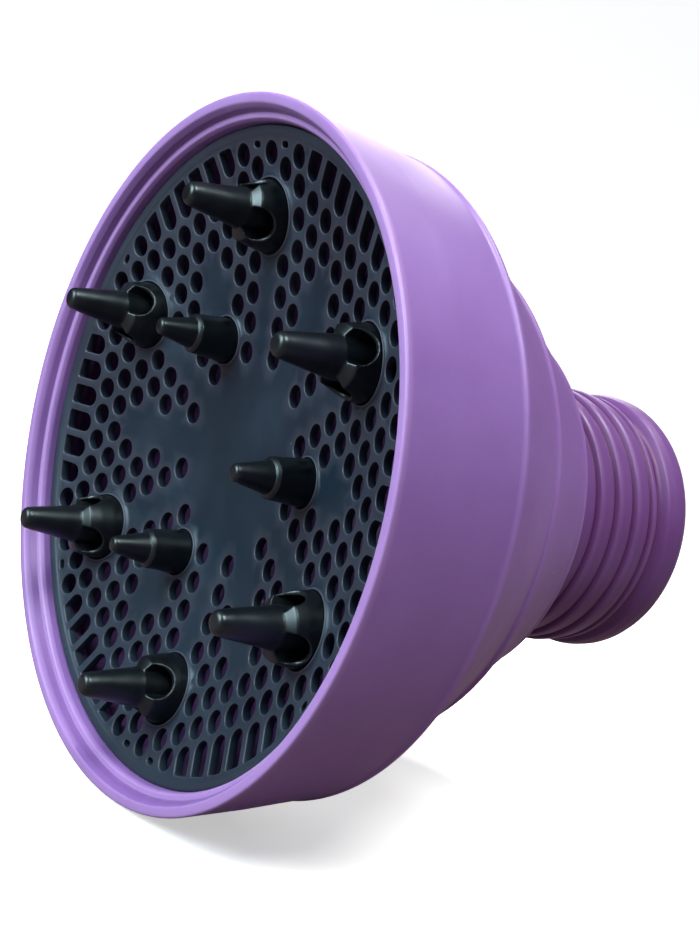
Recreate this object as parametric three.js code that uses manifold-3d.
// Collapsible silicone hair-dryer diffuser: folding bowl and stretch neck,
// dished perforated grille, six vented outer prongs and three stepped inner prongs.
// Units: millimetres. +Z up. The air path runs along Y: the dryer nozzle enters
// at the neck (+Y) and the prongs point forward (-Y). Origin: centre of the
// bounding box, on the axis of revolution.
import * as THREE from 'three';
import { mergeVertices } from 'three/addons/utils/BufferGeometryUtils.js';
import Module from 'manifold-3d';

const wasm = await Module();
wasm.setup();

// ---------------------------------------------------------------- driving sizes
// A depth is measured backwards (+Y) from the front face of the rim.
const LENGTH = 139.1;              // prong tips to neck mouth
const TIP_REACH = 10.6;            // prong tips stand this far in front of the rim
const MOUTH_DEPTH = LENGTH - TIP_REACH;
const GAP = 0.3;                   // between neighbouring silicone pieces

const RIM_R = 77.5;
const STEP1_R = 73.5;              // first step line, behind the outer band
const STEP1_DEPTH = 33.3;
const STEP2_R = 58.5;              // second step line, between the folding bands
const STEP2_DEPTH = 56.9;
const STEP3_R = 43.8;              // third step line, where the neck starts
const STEP3_DEPTH = 80.0;
const STEP_LEAD = 0.5;             // steps 2 and 3 begin this far in front of their line
const SHELL_BACK = STEP1_DEPTH + 0.6;
const STEP_RING_BACK = STEP2_DEPTH + 2.0;
const FLANGE_BACK = STEP3_DEPTH + 8.4;

const WAIST_R = 31.3;              // neck rib crests at the shoulder
const RIDGE_R = 32.8;              // neck rib crests next to the collar
const NECK_BORE_R = 29.3;          // between the grip ribs
const COLLAR_R = 33.3;
const SLEEVE_FRONT = FLANGE_BACK + GAP;
const SLEEVE_BACK = 119.2;

const OUTER_COUNT = 6;
const OUTER_CIRCLE_R = 53.1;
const OUTER_SEAT_R = 8.2;
const INNER_COUNT = 3;
const INNER_CIRCLE_R = 28.7;
const INNER_SEAT_R = 5.5;

const BOWL_SEGMENTS = 54;
const STEP_SEGMENTS = 48;
const NECK_SEGMENTS = 36;

const yAt = (depth) => depth - (LENGTH / 2 - TIP_REACH);

// Depth of the grille's front face at a radius: a paraboloid, deepest on the axis.
const DISH_EDGE_DEPTH = 5.3;       // at DISH_EDGE_R
const DISH_EDGE_R = 73.0;
const DISH_RISE = 11.3;            // from the axis to DISH_EDGE_R
const dishDepth = (radius) => DISH_EDGE_DEPTH + DISH_RISE * (1 - (radius / DISH_EDGE_R) ** 2);

// [x, z] places evenly spaced on a circle, stepping from +Z towards +X.
function placesOnCircle(count, radius, startAngle) {
  return Array.from({ length: count }, (_, i) => {
    const angle = startAngle - (i * 2 * Math.PI) / count;
    return [radius * Math.cos(angle), radius * Math.sin(angle)];
  });
}
const outerPlaces = placesOnCircle(OUTER_COUNT, OUTER_CIRCLE_R, Math.PI / 2);
const innerPlaces = placesOnCircle(INNER_COUNT, INNER_CIRCLE_R, (2 * Math.PI) / 3);

// ---------------------------------------------------------------- materials
const silicone = () => new THREE.MeshStandardMaterial({
  color: 0x8a6cb0, roughness: 0.55, metalness: 0,
});
const grilleBlack = () => new THREE.MeshStandardMaterial({
  color: 0x343c44, roughness: 0.5, metalness: 0,
});
const prongBlack = () => new THREE.MeshStandardMaterial({
  color: 0x0d1216, roughness: 0.3, metalness: 0,
});

// ---------------------------------------------------------------- geometry helpers
function signedVolume(position, triangles) {
  const corners = [new THREE.Vector3(), new THREE.Vector3(), new THREE.Vector3()];
  let volume = 0;
  for (let i = 0; i < triangles.length; i += 3) {
    corners.forEach((corner, k) => corner.fromBufferAttribute(position, triangles[i + k]));
    volume += corners[0].dot(corners[1].cross(corners[2])) / 6;
  }
  return volume;
}

// Weld the seams, drop collapsed triangles and make the faces point outwards.
function weld(geometry) {
  geometry.deleteAttribute('normal');
  geometry.deleteAttribute('uv');
  const welded = mergeVertices(geometry, 1e-4);
  const index = welded.getIndex().array;
  const triangles = [];
  for (let i = 0; i < index.length; i += 3) {
    const [a, b, c] = index.slice(i, i + 3);
    if (a !== b && b !== c && a !== c) triangles.push(a, b, c);
  }
  if (signedVolume(welded.getAttribute('position'), triangles) < 0) {
    for (let i = 0; i < triangles.length; i += 3) {
      [triangles[i + 1], triangles[i + 2]] = [triangles[i + 2], triangles[i + 1]];
    }
  }
  welded.setIndex(triangles);
  return welded;
}

// Revolve a closed profile of [radius, depth] about Y.
function revolve(profile, segments) {
  const points = [...profile, profile[0]].map(([r, depth]) => new THREE.Vector2(r, yAt(depth)));
  return weld(new THREE.LatheGeometry(points, segments));
}

// Revolve a profile of [radius, height] that starts and ends on the axis; height is forward.
function revolveStalk(profile, segments) {
  const points = profile.map(([radius, height]) => new THREE.Vector2(radius, -height));
  return weld(new THREE.LatheGeometry(points, segments));
}

const extrude = (points, depth) => new THREE.ExtrudeGeometry(
  new THREE.Shape(points), { depth, bevelEnabled: false },
);

function arcPoints(radius, from, to, steps, centreY = 0) {
  return Array.from({ length: steps + 1 }, (_, i) => {
    const angle = from + ((to - from) * i) / steps;
    return new THREE.Vector2(radius * Math.cos(angle), centreY + radius * Math.sin(angle));
  });
}

function toManifold(geometry) {
  const welded = weld(geometry);
  return new wasm.Manifold(new wasm.Mesh({
    numProp: 3,
    vertProperties: new Float32Array(welded.getAttribute('position').array),
    triVerts: new Uint32Array(welded.getIndex().array),
  }));
}

function fromManifold(manifold) {
  const { vertProperties, triVerts } = manifold.getMesh();
  const geometry = new THREE.BufferGeometry();
  geometry.setAttribute('position', new THREE.Float32BufferAttribute(vertProperties, 3));
  geometry.setIndex(Array.from(triVerts));
  return geometry;
}

const diffuser = new THREE.Group();

function addMesh(name, geometry, material, parent = diffuser) {
  geometry.computeVertexNormals();
  const mesh = new THREE.Mesh(geometry, material);
  mesh.name = name;
  parent.add(mesh);
}

// ---------------------------------------------------------------- silicone bowl
// All silicone profiles are [radius, depth].

// Rim face, tapered outer band, lip of the first step line, seat shoulder behind
// the grille, retaining ledge in front of it and inner wall.
function bowlShell() {
  return revolve([
    [RIM_R - 1.3, 0], [RIM_R, 1.3], [76.0, 14],
    [STEP1_R + 0.1, STEP1_DEPTH - 1.6], [STEP1_R, STEP1_DEPTH],
    [STEP1_R - 1.6, SHELL_BACK], [70.0, SHELL_BACK],
    [72.6, 12.5], [72.4, 11.2], [69.8, 10.6], [69.8, 9.2], [72.4, 8.7],
    [72.4, 3.9], [73.0, 3.2], [73.9, 2.9], [74.3, 1.2], [75.2, 0],
  ], BOWL_SEGMENTS);
}

// A cone of thinner wall; each end is [outer radius, inner radius, depth].
function foldBand(front, back, segments) {
  const [frontOuter, frontInner, frontDepth] = front;
  const [backOuter, backInner, backDepth] = back;
  return revolve([
    [frontOuter, frontDepth], [backOuter, backDepth],
    [backInner, backDepth], [frontInner, frontDepth],
  ], segments);
}

const foldBandA = () => foldBand(
  [71.6, 69.4, SHELL_BACK + GAP],
  [58.2, 56.0, STEP2_DEPTH - STEP_LEAD - GAP],
  BOWL_SEGMENTS,
);

const foldBandB = () => foldBand(
  [56.4, 54.3, STEP_RING_BACK + GAP],
  [43.9, 41.8, STEP3_DEPTH - STEP_LEAD - GAP],
  STEP_SEGMENTS,
);

// Second step line: a stiffer ring that stays round while both bands fold.
function stepRing() {
  return revolve([
    [STEP2_R - 0.6, STEP2_DEPTH - STEP_LEAD], [STEP2_R, STEP2_DEPTH + 0.2],
    [STEP2_R - 0.4, STEP2_DEPTH + 1.4], [56.6, STEP_RING_BACK],
    [54.2, STEP_RING_BACK], [54.6, STEP2_DEPTH - STEP_LEAD],
  ], STEP_SEGMENTS);
}

// Third step line and the rounded shoulder that turns into the neck.
function neckFlange() {
  return revolve([
    [STEP3_R - 0.6, STEP3_DEPTH - STEP_LEAD], [STEP3_R, STEP3_DEPTH + 0.3],
    [STEP3_R - 0.6, STEP3_DEPTH + 1.3], [40.2, STEP3_DEPTH + 2.2],
    [35.9, STEP3_DEPTH + 3.8], [32.7, STEP3_DEPTH + 6.2],
    [WAIST_R, FLANGE_BACK], [NECK_BORE_R, FLANGE_BACK],
    [30.6, STEP3_DEPTH + 5.4], [33.6, STEP3_DEPTH + 2.4],
    [38.2, STEP3_DEPTH + 0.4], [40.6, STEP3_DEPTH - STEP_LEAD],
  ], NECK_SEGMENTS);
}

// ---------------------------------------------------------------- silicone neck
const RIB_COUNT = 5;
const RIB_PITCH = 6.1;
const FIRST_GROOVE_DEPTH = 90.8;
const GROOVE_CUT = 1.1;            // groove bottom below the crest line
const GROOVE_HALF = 1.4;           // groove half width along the axis
const GRIP_DEPTHS = [114, 106, 98];
const GRIP_R = 27.2;               // bore over the grip ribs, unstretched
const GRIP_HALF = 1.8;             // grip rib half width along the axis

// Rib crest radius at a depth, swelling from the waist to the collar.
function crestRadius(depth) {
  const toCollar = (SLEEVE_BACK - depth) / (SLEEVE_BACK - SLEEVE_FRONT);
  return RIDGE_R - (RIDGE_R - WAIST_R) * toCollar ** 2;
}

// Outer ribs between V grooves, and three grip ribs inside the bore.
function neckSleeve() {
  const outside = [[WAIST_R, SLEEVE_FRONT]];
  for (let i = 0; i < RIB_COUNT; i++) {
    const groove = FIRST_GROOVE_DEPTH + i * RIB_PITCH;
    const ribFront = groove + GROOVE_HALF;
    const ribBack = groove + RIB_PITCH - GROOVE_HALF;
    outside.push([crestRadius(groove) - GROOVE_CUT, groove], [crestRadius(ribFront), ribFront]);
    if (i < RIB_COUNT - 1) outside.push([crestRadius(ribBack), ribBack]);
  }
  outside.push([RIDGE_R - 1.8, SLEEVE_BACK]);

  const bore = [[NECK_BORE_R, SLEEVE_BACK]];
  for (const grip of GRIP_DEPTHS) {
    bore.push([NECK_BORE_R, grip + GRIP_HALF], [GRIP_R, grip], [NECK_BORE_R, grip - GRIP_HALF]);
  }
  bore.push([NECK_BORE_R, SLEEVE_FRONT]);
  return revolve([...outside, ...bore], NECK_SEGMENTS);
}

// Smooth rounded mouth of the neck with a flat end face.
function endCollar() {
  const front = SLEEVE_BACK + GAP;
  return revolve([
    [RIDGE_R - 1.6, front], [32.8, front + 1.1], [COLLAR_R, front + 3.4],
    [COLLAR_R - 0.2, MOUTH_DEPTH - 2.6], [32.5, MOUTH_DEPTH - 0.8], [31.4, MOUTH_DEPTH],
    [28.6, MOUTH_DEPTH], [27.8, MOUTH_DEPTH - 1.2], [28.2, MOUTH_DEPTH - 4],
    [NECK_BORE_R, front],
  ], NECK_SEGMENTS);
}

// ---------------------------------------------------------------- grille plate
const PLATE_R = 72.0;
const PLATE_T = 2.2;
const PLATE_FACETS = 12;
const SLAB_RADII = [0, 30, 54, 80];  // facet rings; the last is trimmed to PLATE_R
const HOLE_PITCH = 6.63;
const COLUMN_PITCH = (HOLE_PITCH * Math.sqrt(3)) / 2;
const HOLE_R = 2.5;
const BORDER_R = 69.0;               // holes and slots stop at this radius
const BORDER_SLACK = 0.2;
const SEAT_MARGIN = 0.35;            // least web between a hole and an outer seat
const CUTTER_DEPTH = 10;             // middle of every cutter
const CUTTER_LENGTH = 30;
const TRIM_LENGTH = 60;

// Lattice columns are counted outwards along a sector's centre line.
const FIRST_COLUMN = 4;              // a solid star is left inside this
const LAST_SOLID_COLUMN = 8;         // spokes and sector pads are solid up to here
const LAST_COLUMN = 11;              // row of slots, with a hole at each end
const LAST_COLUMN_HOLE = 7;          // half pitches from the centre line to those holes

function cylinderCutter({ radius, sides, x = 0, z = 0, length = CUTTER_LENGTH, turn = 0 }) {
  const geometry = new THREE.CylinderGeometry(radius, radius, length, sides);
  geometry.rotateY(turn);
  geometry.translate(x, yAt(CUTTER_DEPTH), z);
  return toManifold(geometry);
}

// Slot with a pointed inner end and a straight outer end at the border.
function slotCutter({ x, z, along, across, sectorAngle }) {
  const reach = Math.sqrt(BORDER_R ** 2 - across ** 2) - along;
  const outline = [
    [reach, -HOLE_R * 0.86], [reach, HOLE_R * 0.86], [-HOLE_R * 0.4, HOLE_R * 0.92],
    [-HOLE_R, 0], [-HOLE_R * 0.4, -HOLE_R * 0.92],
  ].map(([px, py]) => new THREE.Vector2(px, py));
  const geometry = extrude(outline, CUTTER_LENGTH);
  geometry.translate(0, 0, -CUTTER_LENGTH / 2);
  geometry.rotateX(Math.PI / 2);     // shape x, y -> X, Z
  geometry.rotateY(-sectorAngle);
  geometry.translate(x, yAt(CUTTER_DEPTH), z);
  return toManifold(geometry);
}

// Cutter for one lattice site, or null where the plate stays solid.
function siteCutter(sectorAngle, column, halfPitches) {
  const offset = Math.abs(halfPitches);
  const onSpoke = offset === column;
  const onPad = offset <= 1;
  if (column <= LAST_SOLID_COLUMN && (onSpoke || onPad)) return null;

  let along = column * COLUMN_PITCH;
  let across = (halfPitches * HOLE_PITCH) / 2;
  let radius = Math.hypot(along, across);
  if (column === LAST_COLUMN && offset === LAST_COLUMN_HOLE) {
    const pull = (BORDER_R - HOLE_R) / radius;   // pulled in to clear the border
    along *= pull;
    across *= pull;
    radius *= pull;
  }
  const x = along * Math.cos(sectorAngle) - across * Math.sin(sectorAngle);
  const z = along * Math.sin(sectorAngle) + across * Math.cos(sectorAngle);
  const clearance = OUTER_SEAT_R + HOLE_R + SEAT_MARGIN;
  if (outerPlaces.some(([px, pz]) => Math.hypot(x - px, z - pz) < clearance)) return null;

  if (column === LAST_COLUMN && offset < LAST_COLUMN_HOLE) {
    return slotCutter({ x, z, along, across, sectorAngle });
  }
  if (radius + HOLE_R > BORDER_R + BORDER_SLACK) return null;
  return cylinderCutter({ radius: HOLE_R, sides: 6, x, z, turn: Math.PI / 6 });
}

// Hexagonal lattice, symmetric about the six spokes that carry the outer prongs.
function latticeCutters() {
  const cutters = [];
  for (let sector = 0; sector < 6; sector++) {
    for (let column = FIRST_COLUMN; column <= LAST_COLUMN; column++) {
      // Starting past -column leaves each spoke site to one sector only.
      for (let halfPitches = 2 - column; halfPitches <= column; halfPitches += 2) {
        const cutter = siteCutter((sector * Math.PI) / 3, column, halfPitches);
        if (cutter) cutters.push(cutter);
      }
    }
  }
  return cutters;
}

// Dished slab cut from facets, trimmed round, then perforated.
function grillePlate() {
  const front = SLAB_RADII.map((r) => new THREE.Vector2(r, yAt(dishDepth(r))));
  const back = SLAB_RADII.map((r) => new THREE.Vector2(r, yAt(dishDepth(r) + PLATE_T))).reverse();
  const slab = toManifold(new THREE.LatheGeometry([...front, ...back], PLATE_FACETS));
  const trim = cylinderCutter({ radius: PLATE_R, sides: BOWL_SEGMENTS, length: TRIM_LENGTH });
  const seats = [
    ...outerPlaces.map(([x, z]) => cylinderCutter({ radius: OUTER_SEAT_R, sides: 20, x, z })),
    ...innerPlaces.map(([x, z]) => cylinderCutter({ radius: INNER_SEAT_R, sides: 16, x, z })),
  ];
  return fromManifold([...latticeCutters(), ...seats].reduce(
    (plate, cutter) => plate.subtract(cutter),
    slab.intersect(trim),
  ));
}

// ---------------------------------------------------------------- prongs
// Profiles are [radius, height in front of the grille's front face].
const PLUG_BACK = -2.8;              // height of the back of every prong
const OUTER_PRONG = [
  [0, 21.2], [1.5, 20.95], [2.4, 20.1], [2.75, 18.6], [4.15, 9.0], [4.35, 7.9],
  [6.7, 6.8], [7.3, 4.2], [7.85, 1.0], [7.9, PLUG_BACK], [0, PLUG_BACK],
];
const INNER_PRONG = [
  [0, 17.7], [1.0, 17.4], [1.7, 16.7], [2.0, 15.9], [3.4, 9.6],
  [3.9, 9.4], [4.3, 8.8], [5.2, 0], [5.2, PLUG_BACK], [0, PLUG_BACK],
];
const OPENING_COUNT = 3;
const OPENING_HALF = (34 * Math.PI) / 180;   // half angle of one opening
const OPENING_TOP = 10;                      // cutter height, clear of the cup
const ROOT_R = 4.5;
const CUP_BORE_R = 6.6;
const ARCH_HEIGHT = 7.0;                     // height of the arch centre in the cup wall
const ARCH_R = 4.5;

// Annular sector about +X, from height low to OPENING_TOP.
function sectorPrism(innerRadius, outerRadius, low) {
  const geometry = extrude([
    ...arcPoints(innerRadius, -OPENING_HALF, OPENING_HALF, 4),
    ...arcPoints(outerRadius, OPENING_HALF, -OPENING_HALF, 4),
  ], OPENING_TOP - low);
  geometry.rotateX(Math.PI / 2);             // extrusion runs forward, along -Y
  geometry.translate(0, -low, 0);
  return geometry;
}

// Round-bottomed notch that runs out along +X.
function archPrism() {
  const geometry = extrude([
    ...arcPoints(ARCH_R, Math.PI, 2 * Math.PI, 8, ARCH_HEIGHT),
    new THREE.Vector2(ARCH_R, OPENING_TOP),
    new THREE.Vector2(-ARCH_R, OPENING_TOP),
  ], 12);
  geometry.rotateX(Math.PI);                 // shape y -> height, along -Y
  geometry.rotateY(-Math.PI / 2);            // extrusion -> +X
  return geometry;
}

// Tapered prong on a round cup that plugs into its seat. Three legs with a
// sloping top join the prong to the cup wall; between them are arched air
// openings that lead through the cup to its open back.
function outerProng() {
  let prong = toManifold(revolveStalk(OUTER_PRONG, 18));
  for (let i = 0; i < OPENING_COUNT; i++) {
    const angle = (i * 2 * Math.PI) / OPENING_COUNT - Math.PI / 6;
    const turned = (geometry) => toManifold(geometry.rotateY(angle));
    const duct = turned(sectorPrism(ROOT_R, CUP_BORE_R, -4));
    const arch = turned(archPrism()).intersect(turned(sectorPrism(ROOT_R, 10, 1)));
    prong = prong.subtract(duct).subtract(arch);
  }
  return fromManifold(prong);
}

// One prong in its own group, whose origin is on the grille's front face.
function addProng(name, geometry, [x, z], circleRadius, turn = 0) {
  const holder = new THREE.Group();
  holder.position.set(x, yAt(dishDepth(circleRadius)), z);
  holder.rotation.y = turn;
  diffuser.add(holder);
  addMesh(name, geometry.clone(), prongBlack(), holder);
}

// ---------------------------------------------------------------- assembly
addMesh('bowl_shell', bowlShell(), silicone());
addMesh('fold_band_a', foldBandA(), silicone());
addMesh('step_ring', stepRing(), silicone());
addMesh('fold_band_b', foldBandB(), silicone());
addMesh('neck_flange', neckFlange(), silicone());
addMesh('neck_sleeve', neckSleeve(), silicone());
addMesh('end_collar', endCollar(), silicone());
addMesh('grille_plate', grillePlate(), grilleBlack());

const outerGeometry = outerProng();
outerPlaces.forEach((place, i) => {
  const turn = i % 2 === 0 ? Math.PI / 3 : 0;   // an opening always faces away from the centre
  addProng(`outer_prong_${i + 1}`, outerGeometry, place, OUTER_CIRCLE_R, turn);
});

const innerGeometry = revolveStalk(INNER_PRONG, 14);
innerPlaces.forEach((place, i) => {
  addProng(`inner_prong_${i + 1}`, innerGeometry, place, INNER_CIRCLE_R);
});

export default diffuser;
